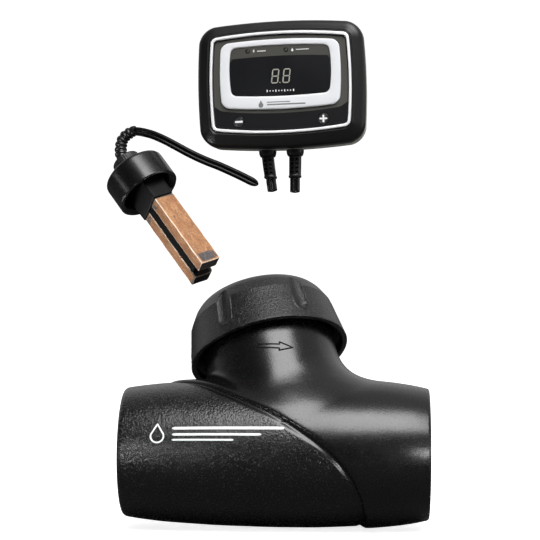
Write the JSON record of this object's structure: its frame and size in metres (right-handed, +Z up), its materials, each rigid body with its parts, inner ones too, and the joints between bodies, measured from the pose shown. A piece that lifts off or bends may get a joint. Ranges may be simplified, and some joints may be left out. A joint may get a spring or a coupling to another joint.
{
  "type": "electrode water treatment set",
  "caption": "In-line flow chamber with screw cap, two-bar copper electrode probe on a lead, and a wall controller with display and push buttons.",
  "frame": {"origin": "middle of the group's footprint at floor level (centre of the bounding box's bottom)", "axes": "+Z up, +X with the flow from the chamber's inlet to its outlet, -Y towards the front of the controller"},
  "size_m": [0.266, 0.177, 0.415],
  "materials": {
    "chamber_plastic": "satin black moulding, fine spark texture on the recessed panel",
    "cap_plastic": "satin black moulding, fine grain",
    "seat_plastic": "satin black",
    "seal_rubber": "matt",
    "probe_plastic": "satin black",
    "electrode_copper": "patinated copper, mottled light brown",
    "stud_brass": "turned",
    "boot_rubber": "matt, ribbed",
    "lead_jacket": "satin twin-core jacket",
    "bezel_plastic": "semi-gloss black",
    "shell_plastic": "light grey moulding",
    "face_film": "warm grey film over a near-black band",
    "trim_silver": "bright brushed silver",
    "window_tint": "tinted, glossy",
    "display_black": "matt",
    "led_clear": "clear dome",
    "button_black": "satin with a white symbol",
    "switch_body": "matt",
    "board_green": "solder-masked laminate",
    "chip_black": "matt",
    "can_aluminium": "bright",
    "terminal_green": "matt",
    "screw_steel": "bright zinc"
  },
  "bodies": {
    "root": {"chamber_body": "chamber_plastic", "probe_core": "probe_plastic", "electrode_holder": "probe_plastic", "electrode_front": "electrode_copper", "electrode_rear": "electrode_copper", "electrode_spacer": "probe_plastic", "electrode_stud_front": "stud_brass", "electrode_stud_rear": "stud_brass", "probe_boot": "boot_rubber", "front_bezel": "bezel_plastic", "rear_shell": "shell_plastic", "case_gasket": "seal_rubber", "case_screw_1": "screw_steel", "case_screw_2": "screw_steel", "case_screw_3": "screw_steel", "case_screw_4": "screw_steel", "trim_ring_outer": "trim_silver", "face_plate": "face_film", "trim_ring_inner": "trim_silver", "display_window": "window_tint", "display_module": "display_black", "led_power": "led_clear", "led_ion": "led_clear", "switch_minus": "switch_body", "switch_plus": "switch_body", "circuit_board": "board_green", "controller_chip": "chip_black", "capacitor": "can_aluminium", "terminal_block": "terminal_green", "power_boot": "boot_rubber", "signal_boot": "boot_rubber"},
    "seat_insert": {"probe_seat": "seat_plastic", "seat_seal": "seal_rubber"},
    "union_cap": {"cap_nut": "cap_plastic"},
    "probe_nut_body": {"probe_nut": "probe_plastic", "probe_seal": "seal_rubber"},
    "minus_key": {"button_minus": "button_black"},
    "plus_key": {"button_plus": "button_black"},
    "probe_cable": {"probe_lead": "lead_jacket"},
    "power_cable": {"power_lead": "lead_jacket"},
    "signal_cable": {"signal_lead": "lead_jacket"}
  },
  "joints": [
    {"name": "cap_turn", "type": "hinge", "parent": "seat_insert", "child": "union_cap", "pos_m": [-0.00422, 0.03009, 0.1586], "axis": [-0.197, 0.4832, 0.8531], "range_deg": [0, 720]},
    {"name": "seat_lift", "type": "slide", "parent": "root", "child": "seat_insert", "axis": [-0.197, 0.4832, 0.8531], "range_m": [0, 0.0125]},
    {"name": "probe_nut_spin", "type": "hinge", "parent": "root", "child": "probe_nut_body", "pos_m": [-0.10531, -0.01969, 0.28268], "axis": [0.5475, -0.3949, -0.7377], "continuous": true},
    {"name": "minus_press", "type": "slide", "parent": "root", "child": "minus_key", "axis": [0.1474, 0.986, -0.0785], "range_m": [0, 0.0007], "stiffness_N_per_m": 300},
    {"name": "plus_press", "type": "slide", "parent": "root", "child": "plus_key", "axis": [0.1474, 0.986, -0.0785], "range_m": [0, 0.0007], "stiffness_N_per_m": 300},
    {"name": "probe_lead_flex", "type": "hinge", "parent": "root", "child": "probe_cable", "pos_m": [-0.10864, -0.00742, 0.32555], "axis": [0, 0, 1], "range_deg": [-15, 15], "stiffness_Nm_per_rad": 0.02},
    {"name": "power_lead_flex", "type": "hinge", "parent": "root", "child": "power_cable", "pos_m": [0.00158, -0.02158, 0.28346], "axis": [0.1474, 0.986, -0.0785], "range_deg": [-12, 12], "stiffness_Nm_per_rad": 0.01},
    {"name": "signal_lead_flex", "type": "hinge", "parent": "root", "child": "signal_cable", "pos_m": [0.02116, -0.02446, 0.28402], "axis": [0.1474, 0.986, -0.0785], "range_deg": [-12, 12], "stiffness_Nm_per_rad": 0.01}
  ],
  "couplings": [
    {"joint": "seat_lift", "follows": "cap_turn", "m_per_rad": 0.00095493}
  ]
}
